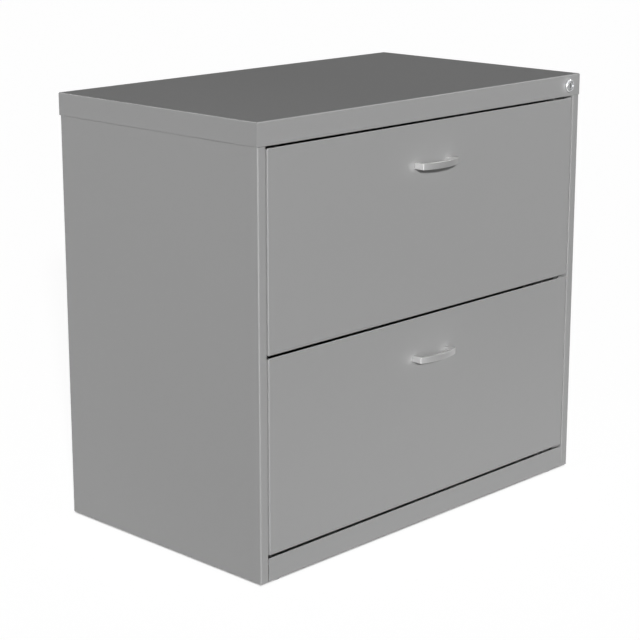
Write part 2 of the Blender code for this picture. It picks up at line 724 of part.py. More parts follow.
def lock_housing():
    """The chrome shell of the lock: a flange in front and a barrel through the fascia."""
    chamfer = LOCK_FLANGE / 4
    face, seat, rear = FRONT - LOCK_FLANGE, FRONT - FIT, FRONT + LOCK_BARREL
    bore = PLUG_RADIUS + FIT
    profile = [(bore, face), (LOCK_FLANGE_RADIUS - 2 * chamfer, face),
               (LOCK_FLANGE_RADIUS - chamfer / 2, face + chamfer),
               (LOCK_FLANGE_RADIUS, face + 2.5 * chamfer), (LOCK_FLANGE_RADIUS, seat),
               (LOCK_BARREL_RADIUS, seat), (LOCK_BARREL_RADIUS, rear), (bore, rear)]
    shape = turned(profile, (LOCK_X, 0, LOCK_Z), "Y", LOCK_SIDES, closed=True)
    piece("lock_housing", shape, CHROME)


def lock_nut():
    """The nut that clamps the lock behind the header rail."""
    near = FRONT + 2 * SHEET + 2 * FIT
    shape = extruded(hexagon((LOCK_X, LOCK_Z), NUT_RADIUS), "Y", near, near + NUT_THICKNESS)
    nut = piece("lock_nut", shape, ZINC)
    bore = LOCK_BARREL_RADIUS + FIT
    profile = [(bore, near - SHEET), (bore, near + NUT_THICKNESS + SHEET)]
    change(nut, turned(profile, (LOCK_X, 0, LOCK_Z), "Y", LOCK_SIDES))


def lock_cylinder():
    """The plug that the key turns, and the cam with its pin behind it."""
    axis = pivot("lock_pivot", (LOCK_X, FRONT, LOCK_Z))
    face, cam = FRONT - LOCK_FLANGE + PLUG_SINK, FRONT + CAM_SETBACK
    edge = PLUG_RADIUS / 12
    profile = [(PLUG_RADIUS - edge, face), (PLUG_RADIUS, face + edge), (PLUG_RADIUS, cam - FIT)]
    plug = piece("lock_plug", turned(profile, (LOCK_X, 0, LOCK_Z), "Y", LOCK_SIDES), CHROME, axis)
    keyway = box((LOCK_X - KEYWAY_WIDTH / 2, face - SHEET, LOCK_Z - KEYWAY_HEIGHT / 2),
                 (LOCK_X + KEYWAY_WIDTH / 2, face + KEYWAY_DEPTH, LOCK_Z + KEYWAY_HEIGHT / 2))
    change(plug, keyway)
    low = -45
    pin = (LOCK_X + PIN_ORBIT * cos(radians(low)), LOCK_Z + PIN_ORBIT * sin(radians(low)))
    eye = 2 * PIN_RADIUS
    outline = arc((LOCK_X, LOCK_Z), CAM_HUB_RADIUS, low + 90, low + 270, 10)
    outline += arc(pin, eye, low - 90, low + 90, 8)
    lever = piece("lock_cam", extruded(outline, "Y", cam, cam + CAM_THICKNESS), ZINC, axis)
    reach = [(PIN_RADIUS, cam + CAM_THICKNESS / 2), (PIN_RADIUS, cam + CAM_THICKNESS + PIN_REACH)]
    change(lever, turned(reach, (pin[0], 0, pin[1]), "Y", SCREW_SIDES), "UNION")


def lock_bar():
    """The bar that the cam lifts: a slotted head, a long strip and one lug for each drawer."""
    rider = pivot("lock_bar_pivot", (BAR_OUTER - BAR_WIDTH / 2, FRONT + BAR_SETBACK, LOCK_Z))
    inner, tip = BAR_OUTER - BAR_WIDTH, BAR_OUTER - LUG_REACH
    lugs = sorted(LUGS.values())
    pin_z = LOCK_Z - LOCK_LIFT / 2
    slot_half = PIN_RADIUS + SLOT_PLAY
    head_half = 3 * slot_half
    head = LOCK_X + PIN_ORBIT * cos(pi / 4) - head_half
    outline = [(BAR_OUTER, lugs[0] - LUG_HEIGHT), (BAR_OUTER, pin_z + head_half),
               (head, pin_z + head_half), (head, pin_z - head_half), (inner, pin_z - head_half)]
    for base in reversed(lugs):
        outline += [(inner, base + LUG_HEIGHT), (tip, base + LUG_HEIGHT), (tip, base),
                    (inner, base)]
    outline.append((inner, lugs[0] - LUG_HEIGHT))
    near = FRONT + BAR_SETBACK
    bar = piece("lock_bar", extruded(outline, "Y", near, near + BAR_THICKNESS), ZINC, rider)
    slot = box((LOCK_X + PIN_ORBIT * cos(pi / 4) - slot_half, near - SHEET, pin_z - slot_half),
               (LOCK_X + PIN_ORBIT + slot_half, near + BAR_THICKNESS + SHEET, pin_z + slot_half))
    change(bar, slot)


def bar_guide(name, low):
    """A clip on the side panel that the lock bar slides in."""
    wall = SIDE_INNER - FIT - SHEET / 2
    near = FRONT + BAR_SETBACK - FIT - SHEET / 2
    far = FRONT + BAR_SETBACK + BAR_THICKNESS + FIT + SHEET / 2
    plan = [(wall - GUIDE_ARM, near), (wall, near), (wall, far), (wall - GUIDE_ARM, far)]
    piece(name, extruded(bent(plan, SHEET), "Z", low, low + GUIDE_LENGTH), ZINC)


def case():
    """Everything that stays put."""
    top_panel()
    back_panel()
    header_rail()
    base_rail("base_front_rail", FRONT, 1, JAMB_INNER - FIT)
    base_rail("base_rear_rail", BACK_INNER - FIT, -1, SIDE_INNER - FIT)
    counterweight()
    for name, side in SIDES.items():
        side_panel(name, side)
        upright("front_" + name + "_upright", side, FRONT + FRONT_UPRIGHT)
        upright("rear_" + name + "_upright", side, FRONT + REAR_UPRIGHT)
        glide("front_" + name + "_glide", side * GLIDE_X, GLIDE_Y["base_front_rail"])
        glide("rear_" + name + "_glide", side * GLIDE_X, GLIDE_Y["base_rear_rail"])


def lock():
    """The lock, its bar and the bar's guides."""
    lock_housing()
    lock_nut()
    lock_cylinder()
    lock_bar()
    bar_guide("upper_bar_guide", LUGS["upper"] - GUIDE_CLEAR - GUIDE_LENGTH)
    bar_guide("lower_bar_guide", LUGS["lower"] + GUIDE_CLEAR)


clear_scene()
case()
lock()
for drawer_level, drawer_low in DRAWERS.items():
    drawer(drawer_level, drawer_low)
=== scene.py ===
# %% [markdown]
# # A lateral filing cabinet, dressed over its frame
#
# The frame is the cabinet as it is built: every sheet, slide and screw at its real size. This
# lesson gives it its looks. The pieces that the eye rests on are modelled again with finer
# folds, every surface gets a finish, and a plain studio is put round it. What is hidden deep
# inside keeps the frame's own meshes, which are good enough there. Lengths are metres, +Z is up
# and the drawers open towards -Y.

# %% Load the frame
import json
from contextlib import contextmanager
from math import asin, cos, degrees, pi, radians, sin

import bmesh
import bpy
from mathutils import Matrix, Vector


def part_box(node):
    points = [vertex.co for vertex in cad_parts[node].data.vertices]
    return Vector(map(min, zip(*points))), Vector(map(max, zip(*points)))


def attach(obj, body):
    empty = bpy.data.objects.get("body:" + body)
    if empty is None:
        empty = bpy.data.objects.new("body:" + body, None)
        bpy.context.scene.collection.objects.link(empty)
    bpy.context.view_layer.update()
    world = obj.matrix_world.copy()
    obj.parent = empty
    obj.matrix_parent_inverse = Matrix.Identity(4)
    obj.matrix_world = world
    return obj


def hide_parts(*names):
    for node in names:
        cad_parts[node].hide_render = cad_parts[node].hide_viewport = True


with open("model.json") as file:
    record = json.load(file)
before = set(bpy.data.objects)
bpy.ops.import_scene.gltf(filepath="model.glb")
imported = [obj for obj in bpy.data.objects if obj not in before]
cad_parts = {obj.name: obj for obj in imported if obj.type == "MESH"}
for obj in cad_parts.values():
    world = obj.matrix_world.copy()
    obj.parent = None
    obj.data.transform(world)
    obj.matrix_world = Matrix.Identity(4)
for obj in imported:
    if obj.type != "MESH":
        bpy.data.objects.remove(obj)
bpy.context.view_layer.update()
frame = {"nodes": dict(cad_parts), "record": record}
nodes = frame["nodes"]
slots = {part["node"]: part["material_slot"] for part in frame["record"]["subparts"]}
print("nodes in the frame:", len(nodes), "finishes:", sorted(set(slots.values())))

# %% [markdown]
# ## Sizes
#
# Places are read from the frame, so that a new piece lands where the old one is. Only what the
# frame can't say, such as the radius of a fold, is written here as a real size.

# %% Sizes that several pieces share
SHEET = 0.001            # case and drawer fronts
DRAWER_SHEET = 0.0009    # drawer boxes
FOLD = 0.002             # outside radius of a fold
FOLD_STEPS = 5           # facets in a fold
FIT = 0.0003             # clearance between seated pieces
TINY = 1e-5              # two places closer than this are the same

cap_low, cap_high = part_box("top_panel")
FRONT, TOP = cap_low.y, cap_high.z
rail_low, rail_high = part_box("base_front_rail")
print("top panel, mm:", [round(1000 * size) for size in cap_high - cap_low],
      "its top at", round(1000 * TOP))

# %% [markdown]
# ## Working by hand, in code
#
# Blender's mesh operators act on whatever is selected, and a new primitive comes selected all
# over. So each step starts from an empty selection and then picks faces or edges by where they
# are and which way they point, as a hand would with the mouse. The helpers below do the
# picking; the modelling itself is done by the operators.

# %% Selecting
ALONG = 0.9              # a direction counts as along an axis with this share of it
SQUARE = 0.999           # as exactly along it with this share
ACROSS = 0.5             # and as across it with less than this share


def focus(item=None):
    """Select one object, or none."""
    bpy.ops.object.select_all(action="DESELECT")
    bpy.context.view_layer.objects.active = item
    if item:
        item.select_set(True)


@contextmanager
def editing(item):
    """Edit mode on one object, with nothing selected at the start."""
    focus(item)
    bpy.ops.object.mode_set(mode="EDIT")
    bpy.ops.mesh.select_all(action="DESELECT")
    yield
    bpy.ops.object.mode_set(mode="OBJECT")


def pick(kind, test):
    """Select the faces, edges or corners whose middle and direction pass a test."""
    bpy.ops.mesh.select_mode(type=kind)
    bpy.ops.mesh.select_all(action="DESELECT")
    mesh = bmesh.from_edit_mesh(bpy.context.object.data)
    if kind == "FACE":
        for face in mesh.faces:
            face.select_set(bool(test(face.calc_center_median(), face.normal)))
    elif kind == "EDGE":
        for edge in mesh.edges:
            near, far = (end.co for end in edge.verts)
            edge.select_set(bool(test((near + far) / 2, (far - near).normalized())))
    else:
        for corner in mesh.verts:
            corner.select_set(bool(test(corner.co, corner.normal)))
    mesh.select_flush_mode()
    bmesh.update_edit_mesh(bpy.context.object.data)


def same(a, b):
    """Whether two lengths are the same place."""
    return abs(a - b) < TINY


# %% Starting and finishing a mesh
ROUND_UNDER = 32         # degrees between two faces up to which the shading rounds them
FLAT_WEIGHT = 80         # how strongly large faces keep their shading flat


def settled(name):
    """Name the new primitive and put its place, turn and size into its mesh."""
    item = bpy.context.object
    item.name = item.data.name = name
    bpy.ops.object.transform_apply(location=True, rotation=True, scale=True)
    return item


def block(name, low, high):
    """A cube primitive stretched between two corners."""
    focus()
    middle = [(a + b) / 2 for a, b in zip(low, high)]
    size = [b - a for a, b in zip(low, high)]
    bpy.ops.mesh.primitive_cube_add(size=1, location=middle, scale=size)
    return settled(name)


def modified(item, kind, **settings):
    """Add a modifier and apply it at once."""
    focus(item)
    step = item.modifiers.new(kind.lower(), kind)
    for key, value in settings.items():
        setattr(step, key, value)
    bpy.ops.object.modifier_apply(modifier=step.name)
    return item


def smoothed(item):
    """Round shading over the folds, with the flat faces left truly flat."""
    focus(item)
    bpy.ops.object.shade_smooth_by_angle(angle=radians(ROUND_UNDER))
    modified(item, "WEIGHTED_NORMAL", keep_sharp=True, weight=FLAT_WEIGHT)


placed = {}              # each new piece and the finish that it will get


def placed_on(item, body, node):
    """Let a finished piece ride on its body, in the place of one of the frame's own nodes."""
    smoothed(item)
    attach(item, body)
    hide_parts(node)
    placed[item] = slots[node]
    print(item.name, "rides on", body, "-", len(item.data.polygons), "faces")


# %% [markdown]
# ## Folded trays
#
# A cap, a drawer front and a drawer box are the same thing to a press brake: a flat blank whose
# four sides are folded up. Solid boxes would show thick edges wherever they open, so each tray
# starts as a cube with one side taken off. Its rim may be turned in for a lip, and once more
# for a hem. Then the folds are rounded with Bevel, and Solidify gives the single skin its
# thickness. Folding first and thickening last keeps the sheet the same all over.

# %% The tray
def tray(name, low, high, opening, lip=0.0, hem=0.0, fall=0.0, sheet=SHEET, welded=False):
    """A tray open towards one direction, with its rim turned in by lip and then back by hem.

    Its upper wall may fall towards the rim. The corners between its sides are as round as the
    folds, or left sharp for a welded tray."""
    item = block(name, low, high)
    middle, half = (Vector(high) + Vector(low)) / 2, (Vector(high) - Vector(low)) / 2
    opening = Vector(opening)
    across = [k for k in range(3) if abs(opening[k]) < ACROSS]
    rim = middle + Vector([opening[k] * half[k] for k in range(3)])

    def on_rim(place):
        return abs((place - rim).dot(opening)) < TINY

    def on_side(place):
        return any(same(abs(place[k] - middle[k]), half[k]) for k in across)

    with editing(item):
        pick("FACE", lambda place, normal: normal.dot(opening) > ALONG)
        bpy.ops.mesh.delete(type="ONLY_FACE")
        if lip:
            pick("EDGE", lambda place, way: on_rim(place))
            bpy.ops.mesh.extrude_edges_move()
            shrink = [1 - lip / half[k] if k in across else 1 for k in range(3)]
            bpy.ops.transform.resize(value=shrink, center_override=middle)
        if fall:
            pick("VERT", lambda place, normal: on_rim(place) and same(place.z, high[2]))
            bpy.ops.transform.translate(value=(0, 0, -fall))
        if hem:
            bpy.ops.mesh.extrude_edges_move()
            bpy.ops.transform.translate(value=-opening * hem)
            inner = [half[k] - lip for k in range(3)]
            pick("EDGE", lambda place, way: abs(way.dot(opening)) < ACROSS and on_rim(place)
                 and any(same(abs(place[k] - middle[k]), inner[k]) for k in across))
            bpy.ops.mesh.bevel(offset=FOLD, segments=FOLD_STEPS, affect="EDGES")
        pick("EDGE", lambda place, way: on_side(place) and (lip or not on_rim(place))
             and not (welded and abs(way.dot(opening)) > ACROSS))
        bpy.ops.mesh.bevel(offset=FOLD, segments=FOLD_STEPS, affect="EDGES")
    return modified(item, "SOLIDIFY", thickness=sheet, offset=-1, use_even_offset=True)


# %% [markdown]
# ## The cap
#
# The top of the case is one tray turned upside down: its front side is the fascia that carries
# the lock, and its other sides lap over the side panels by the thickness of a sheet, which
# leaves the fine line along the side. Its upright corners are welded and ground, so they are
# crisper than the folds. The hole for the lock is cut with a Boolean. An inset made round and
# deleted would keep cleaner faces, but a round hole in a flat face is what Booleans are best at.

# %% Drilling
def drum(name, start, radius, depth, along, sides=64):
    """A cylinder primitive that starts at a point and runs along +Y or +Z."""
    focus()
    middle = Vector(start) + Vector(along) * depth / 2
    turn = (pi / 2, 0, 0) if along[1] else (0, 0, 0)
    bpy.ops.mesh.primitive_cylinder_add(vertices=sides, radius=radius, depth=depth,
                                        location=middle, rotation=turn)
    return settled(name)


def cut(item, tool):
    """Take the tool's shape out of a piece, and remove the tool."""
    modified(item, "BOOLEAN", operation="DIFFERENCE", solver="EXACT", object=tool)
    bpy.data.objects.remove(tool, do_unlink=True)
    return item


# %% The top panel
LOCK_HOLE = 0.0093
GROUND = 0.0003          # what grinding takes off an edge
GROUND_OVER = 60         # degrees between two faces from which an edge is ground
lock_low, lock_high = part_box("lock_housing")
LOCK_X, LOCK_Z = (lock_low.x + lock_high.x) / 2, (lock_low.z + lock_high.z) / 2

cap = tray("cap_shell", cap_low, cap_high, (0, 0, -1), welded=True)
modified(cap, "BEVEL", width=GROUND, segments=2, limit_method="ANGLE",
         angle_limit=radians(GROUND_OVER))
hole = drum("hole", (LOCK_X, FRONT - SHEET, LOCK_Z), LOCK_HOLE, 3 * SHEET, (0, 1, 0))
placed_on(cut(cap, hole), "root", "top_panel")

# %% [markdown]
# ## The side panels
#
# A side wrapper is folded too, but open on three sides, so it is a cube with three faces taken
# off: what stays is the web, the stile in front and the flange behind. Two Bisect cuts mark the
# notch where the fascia of the cap fits in. The stile is then turned back by extruding its free
# edge, which makes the jamb that the drawer front slides past. A Mirror modifier would join both
# sides in one mesh, so the finished left side is copied and turned over instead.

# %% A side panel
JAMB = 0.020
STILE_INNER = 0.3635     # inner face of the turned-back stile
REAR_FLANGE = 0.015
NOTCH_DEPTH = 0.004

side_low, side_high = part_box("left_side_panel")
side = block("left_wrapper", side_low, (-STILE_INNER, side_high.y, side_high.z))
with editing(side):
    pick("FACE", lambda place, normal: normal.x > ALONG or abs(normal.z) > ALONG)
    bpy.ops.mesh.delete(type="ONLY_FACE")
    for point, direction in (((0, 0, cap_low.z - FIT), (0, 0, 1)),
                             ((0, FRONT + NOTCH_DEPTH, 0), (0, 1, 0))):
        bpy.ops.mesh.select_all(action="SELECT")
        bpy.ops.mesh.bisect(plane_co=point, plane_no=direction)
    pick("FACE", lambda place, normal: place.z > cap_low.z - FIT and place.y < FRONT + NOTCH_DEPTH)
    bpy.ops.mesh.delete(type="FACE")
    pick("VERT", lambda place, normal: same(place.x, -STILE_INNER) and place.y > 0)
    bpy.ops.transform.translate(value=(side_low.x + REAR_FLANGE + STILE_INNER, 0, 0))
    pick("EDGE", lambda place, way: same(place.x, -STILE_INNER) and abs(way.z) > ALONG)
    bpy.ops.mesh.extrude_edges_move(TRANSFORM_OT_translate={"value": (0, JAMB, 0)})
    pick("EDGE", lambda place, way: abs(way.z) > ALONG and (
        same(place.y, FRONT) or (same(place.x, side_low.x) and same(place.y, side_high.y))))
    bpy.ops.mesh.bevel(offset=FOLD, segments=FOLD_STEPS, affect="EDGES")
modified(side, "SOLIDIFY", thickness=SHEET, offset=-1, use_even_offset=True)

# %% Its mirror image
def outward(item):
    """Make the faces of a closed shape point outwards."""
    with editing(item):
        bpy.ops.mesh.select_all(action="SELECT")
        bpy.ops.mesh.normals_make_consistent(inside=False)
    return item


focus(side)
bpy.ops.object.duplicate()
other = bpy.context.object
other.name = other.data.name = "right_wrapper"
bpy.ops.transform.resize(value=(-1, 1, 1), center_override=(0, 0, 0))
bpy.ops.object.transform_apply(location=True, rotation=True, scale=True)
placed_on(side, "root", "left_side_panel")
placed_on(outward(other), "root", "right_side_panel")

# %% [markdown]
# ## The base rail
#
# The rail under the lower drawer is a channel: face, a narrow lip above and a wide foot below,
# where a nut is welded over each glide's stem. It starts as a cube without its back and its
# ends; an extruded outline would do as well, but the cube brings its size from the frame. The
# nuts are six-sided cylinders with a chamfered rim. They, the foot and the lip are bored, so that
# the stems really pass. The lip falls towards the back, which keeps the gap under the drawer
# dark.

# %% The front base rail
RAIL_LIP = 0.020
RAIL_FALL = 0.012        # how far the lip falls towards its back
WELD_NUT = 0.0075        # from the middle to a corner
WELD_NUT_HEIGHT = 0.008
STEM_BORE = 0.0043

glide_places = []
for hand in ("left", "right"):
    low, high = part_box("front_" + hand + "_glide")
    glide_places.append(((low.x + high.x) / 2, (low.y + high.y) / 2))

rail = block("base_channel", rail_low, rail_high)
with editing(rail):
    pick("FACE", lambda place, normal: normal.y > ALONG or abs(normal.x) > ALONG)
    bpy.ops.mesh.delete(type="ONLY_FACE")
    pick("VERT", lambda place, normal: same(place.y, rail_high.y) and same(place.z, rail_high.z))
    bpy.ops.transform.translate(value=(0, FRONT + RAIL_LIP - rail_high.y, -RAIL_FALL))
    pick("EDGE", lambda place, way: same(place.y, FRONT) and abs(way.x) > ALONG)
    bpy.ops.mesh.bevel(offset=FOLD, segments=FOLD_STEPS, affect="EDGES")
modified(rail, "SOLIDIFY", thickness=SHEET, offset=-1, use_even_offset=True)
print("glide stems at", [[round(1000 * value) for value in place] for place in glide_places])

# %% Weld nuts and their bores
nuts = []
for x, y in glide_places:
    base = (x, y, rail_low.z + SHEET - FIT / 3)
    nut = drum("weld_nut", base, WELD_NUT, WELD_NUT_HEIGHT, (0, 0, 1), sides=6)
    with editing(nut):
        pick("FACE", lambda place, normal: normal.z > ALONG)
        bpy.ops.mesh.bevel(offset=SHEET / 2, segments=2, affect="EDGES")
    for item in (rail, nut):
        start = (x, y, rail_low.z - SHEET)
        cut(item, drum("bore", start, STEM_BORE, rail_high.z, (0, 0, 1), sides=32))
    nuts.append(nut)
focus(rail)
for nut in nuts:
    nut.select_set(True)
bpy.ops.object.join()
placed_on(rail, "root", "base_front_rail")

# %% [markdown]
# ## Drawer fronts and boxes
#
# Both are trays. A front opens to the back and has a wide lip that stiffens it; a box opens
# upwards and ends in a hem, which folds the sharp edge of the sheet out of reach. The holes for
# the handle's screws go through the front, under the handle's legs. A hem could be left out,
# since few will look into a drawer, but its round edge is what tells folded sheet from board.
# The upper wall of a front falls towards the back: seen through the narrow gap above it, a level
# wall would catch the light, and the gaps in the photograph are dark.

# %% Fronts and boxes of both drawers
FRONT_LIP = 0.012
FRONT_FALL = 0.009       # how far the upper wall of a front falls towards its back
HEM = 0.010
HEM_DROP = 0.006
SCREW_HOLE = 0.0023
HANDLE_LEG = 0.0085      # width of a leg along the handle

for level in ("lower", "upper"):
    low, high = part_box(level + "_drawer_front")
    front = tray(level + "_front_pan", low, high, (0, 1, 0), lip=FRONT_LIP, fall=FRONT_FALL)
    pull_low, pull_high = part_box(level + "_handle")
    height = (pull_low.z + pull_high.z) / 2
    for x in (pull_low.x + HANDLE_LEG / 2, pull_high.x - HANDLE_LEG / 2):
        start = (x, FRONT - SHEET, height)
        cut(front, drum("hole", start, SCREW_HOLE, 3 * SHEET, (0, 1, 0), sides=24))
    placed_on(front, level + "_drawer", level + "_drawer_front")
    low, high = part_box(level + "_drawer_body")
    box = tray(level + "_box", low, high, (0, 0, 1), lip=HEM, hem=HEM_DROP, sheet=DRAWER_SHEET)
    placed_on(box, level + "_drawer", level + "_drawer_body")

# %% [markdown]
# ## The bowed pulls
#
# A pull is a bar of one section that arches away from the drawer and turns back in two legs.
# A bevelled curve could give the arch, but not the flat legs, so Spin draws it: a small
# rectangle is swept round the centre of the bow. Two Bisect cuts square off the ends, two more
# mark the legs, and the faces outside these marks are drawn back to the drawer by one extrusion.
# A fine bevel stands for the polished edges that catch the light.

# %% The radius of the bow
BAR = 0.0065             # thickness of the bar
BOW = 0.0085             # how far the middle stands out beyond the ends
BOW_STEPS = 48
EDGE = 0.0007            # width of the polished edges
EDGE_OVER = 40           # degrees between two faces from which an edge is polished
SPARE = 1.2              # the sweep runs past the ends, which are then squared off

pull_low, pull_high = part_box("upper_handle")
half = pull_high.x
bow_radius = (half ** 2 + BOW ** 2) / (2 * BOW)
bow_centre = pull_low.y + bow_radius
swing = SPARE * asin(half / bow_radius)
print("bow radius, mm:", round(1000 * bow_radius), "swing:", round(degrees(swing), 1))


# %% The pulls
def extrude(*shift):
    """Draw the selected faces out by a shift."""
    bpy.ops.mesh.extrude_region_move(TRANSFORM_OT_translate={"value": shift})


def pull(level):
    """The bowed handle of one drawer."""
    low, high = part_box(level + "_handle")
    middle = (low.z + high.z) / 2
    inner, foot = half - HANDLE_LEG, high.y
    focus()
    start = (0, bow_centre - bow_radius + BAR / 2, middle)
    bpy.ops.mesh.primitive_plane_add(size=1, location=start, rotation=(0, pi / 2, 0))
    bpy.ops.transform.resize(value=(1, BAR, high.z - low.z))
    item = settled(level + "_pull")
    with editing(item):
        bpy.ops.mesh.select_all(action="SELECT")
        bpy.ops.transform.rotate(value=swing, orient_axis="Z",
                                 center_override=(0, bow_centre, middle))
        bpy.ops.mesh.spin(steps=BOW_STEPS, angle=-2 * swing, center=(0, bow_centre, middle),
                          axis=(0, 0, 1))
        for x, way in ((-half, -1), (half, 1)):
            bpy.ops.mesh.select_all(action="SELECT")
            bpy.ops.mesh.bisect(plane_co=(x, 0, 0), plane_no=(way, 0, 0), clear_outer=True,
                                use_fill=True)
        for x in (-inner, inner):
            bpy.ops.mesh.select_all(action="SELECT")
            bpy.ops.mesh.bisect(plane_co=(x, 0, 0), plane_no=(1, 0, 0))
        bpy.ops.mesh.select_all(action="SELECT")
        bpy.ops.mesh.remove_doubles(threshold=TINY)
        bpy.ops.mesh.normals_make_consistent(inside=False)
        pick("FACE", lambda place, normal: normal.y > ALONG and abs(place.x) > inner)
        extrude(0, 2 * BAR, 0)
        bpy.ops.transform.resize(value=(1, 0, 1), center_override=(0, foot, 0))
    modified(item, "BEVEL", width=EDGE, segments=3, limit_method="ANGLE",
             angle_limit=radians(EDGE_OVER))
    with editing(item):
        bpy.ops.mesh.select_all(action="SELECT")
        bpy.ops.mesh.remove_doubles(threshold=TINY)
        bpy.ops.mesh.dissolve_degenerate(threshold=TINY)
    placed_on(outward(item), level + "_drawer", level + "_handle")


for level in ("lower", "upper"):
    pull(level)

# %% [markdown]
# ## The lock
#
# The shell of a cam lock is turned on a lathe. A drawn profile could be spun in the same way, but
# a lathe's moves have their counterparts in edit mode, which need no drawing: a cylinder is
# faced and grooved with Inset and Extrude, bored by bridging its two ends, and its corners are
# broken with Bevel. The plug sits in it with a raised rim and a keyway, which is a Boolean cut.

# %% The lock's shell
FLANGE_RADIUS = 0.011
BARREL_RADIUS = 0.009
PLUG_RADIUS = 0.0065
BORE_RADIUS = PLUG_RADIUS + FIT
ROUNDING = 0.0022        # round edge of the flange
FACE_RIM = 0.0006        # flat rim inside that edge
GROOVE_WIDTH, GROOVE_DEPTH = 0.0011, 0.0007
RING_RISE = 0.0005       # the ring round the plug stands this far out of the groove

shell = drum("lock_shell", (LOCK_X, lock_low.y, LOCK_Z), FLANGE_RADIUS, FRONT - FIT - lock_low.y,
             (0, 1, 0), sides=96)
with editing(shell):
    pick("FACE", lambda place, normal: normal.y > ALONG)
    bpy.ops.mesh.inset(thickness=FLANGE_RADIUS - BARREL_RADIUS)
    extrude(0, lock_high.y - FRONT + FIT, 0)
    bpy.ops.mesh.inset(thickness=BARREL_RADIUS - BORE_RADIUS)
    pick("FACE", lambda place, normal: normal.y < -ALONG)
    bpy.ops.mesh.bevel(offset=ROUNDING, segments=6, affect="EDGES")
    pick("FACE", lambda place, normal: normal.y < -SQUARE)
    bpy.ops.mesh.inset(thickness=FACE_RIM)
    extrude(0, GROOVE_DEPTH, 0)
    ring_radius = FLANGE_RADIUS - ROUNDING - FACE_RIM - GROOVE_WIDTH
    bpy.ops.mesh.inset(thickness=GROOVE_WIDTH)
    extrude(0, -RING_RISE, 0)
    bpy.ops.mesh.inset(thickness=ring_radius - BORE_RADIUS)
    pick("FACE", lambda place, normal: abs(normal.y) > ALONG and same(place.x, LOCK_X)
         and same(place.z, LOCK_Z))
    bpy.ops.mesh.bridge_edge_loops()
placed_on(outward(shell), "root", "lock_housing")

# %% The plug with its keyway
plug_low, plug_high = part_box("lock_plug")
KEYWAY_WIDTH, KEYWAY_HEIGHT, KEYWAY_DEPTH = 0.0016, 0.0084, 0.006
PLUG_ROUNDING = 0.0005
PLUG_RIM, PLUG_DISH = 0.0008, 0.0003     # width of the raised rim and depth of the face in it

plug = drum("key_plug", (LOCK_X, plug_low.y, LOCK_Z), PLUG_RADIUS, plug_high.y - plug_low.y,
            (0, 1, 0), sides=96)
with editing(plug):
    pick("FACE", lambda place, normal: normal.y < -ALONG)
    bpy.ops.mesh.bevel(offset=PLUG_ROUNDING, segments=3, affect="EDGES")
    pick("FACE", lambda place, normal: normal.y < -SQUARE)
    bpy.ops.mesh.inset(thickness=PLUG_RIM)
    extrude(0, PLUG_DISH, 0)
keyway = block(
    "keyway",
    (LOCK_X - KEYWAY_WIDTH / 2, plug_low.y - SHEET, LOCK_Z - KEYWAY_HEIGHT / 2),
    (LOCK_X + KEYWAY_WIDTH / 2, plug_low.y + KEYWAY_DEPTH, LOCK_Z + KEYWAY_HEIGHT / 2))
placed_on(cut(plug, keyway), "lock_cylinder", "lock_plug")

# %% [markdown]
# ## Glides
#
# A glide is a moulded foot on a threaded stem. The foot is a short cylinder with a broken lower
# edge and a shoulder, and the stem is drawn up from its top face. Copies that share one mesh
# would be lighter, but every piece has to own its mesh, so one loop models all four.

# %% The glides
FOOT_RADIUS = 0.0105
FOOT = 0.006             # height of the foot
TOE = 0.0012             # broken lower edge
SHOULDER = 0.0018
STEM_RADIUS = 0.004
STEM_TIP = 0.0006

for end in ("front", "rear"):
    for hand in ("left", "right"):
        node = end + "_" + hand + "_glide"
        low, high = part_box(node)
        x, y = (low.x + high.x) / 2, (low.y + high.y) / 2
        foot = drum(node + "_foot", (x, y, 0), FOOT_RADIUS, FOOT, (0, 0, 1), sides=64)
        with editing(foot):
            pick("FACE", lambda place, normal: normal.z < -ALONG)
            bpy.ops.mesh.bevel(offset=TOE, segments=4, affect="EDGES")
            pick("FACE", lambda place, normal: normal.z > ALONG)
            bpy.ops.mesh.bevel(offset=SHOULDER, segments=4, affect="EDGES")
            pick("FACE", lambda place, normal: normal.z > SQUARE)
            bpy.ops.mesh.inset(thickness=FOOT_RADIUS - SHOULDER - STEM_RADIUS)
            extrude(0, 0, high.z - FOOT)
            bpy.ops.mesh.bevel(offset=STEM_TIP, segments=2, affect="EDGES")
        placed_on(foot, node, node)

# %% [markdown]
# ## Shader sums in plain Python
#
# A finish is worked out from noise at a few scales. Painted pictures would do as well, but each
# piece would have to be unwrapped for them, and they blur close up. Nodes stay sharp, yet one by
# one they are long to write and hard to read. So a small class wraps a socket and lets + and *
# stand for Math nodes, and every other node comes from one method, `add`, which takes the
# node's type, its settings and what goes in.

# %% Wires and graphs
class Wire:
    """A socket that takes part in sums; each sum adds its Math node."""

    def __init__(self, graph, socket):
        self.graph, self.socket = graph, socket

    def maths(self, operation, other):
        """The Math node of this wire and another wire or number."""
        return self.graph.add("Math", {"operation": operation}, {0: self, 1: other})

    def __add__(self, other):
        return self.maths("ADD", other)

    def __mul__(self, other):
        return self.maths("MULTIPLY", other)


class Graph:
    """The nodes of one tree."""

    def __init__(self, tree):
        self.tree = tree

    def add(self, kind, settings=None, inputs=None, out=0):
        """Any node: its type, its settings, the values or wires of its sockets, and its output."""
        node = self.tree.nodes.new("ShaderNode" + kind)
        for key, value in (settings or {}).items():
            setattr(node, key, value)
        for key, value in (inputs or {}).items():
            self.feed(node.inputs[key], value)
        return Wire(self, node.outputs[out])

    def feed(self, socket, value):
        """Give a socket a wire or a plain value."""
        if isinstance(value, Wire):
            self.tree.links.new(value.socket, socket)
        else:
            socket.default_value = value


# %% Finishes
finishes = {}            # each of the record's slots and its material


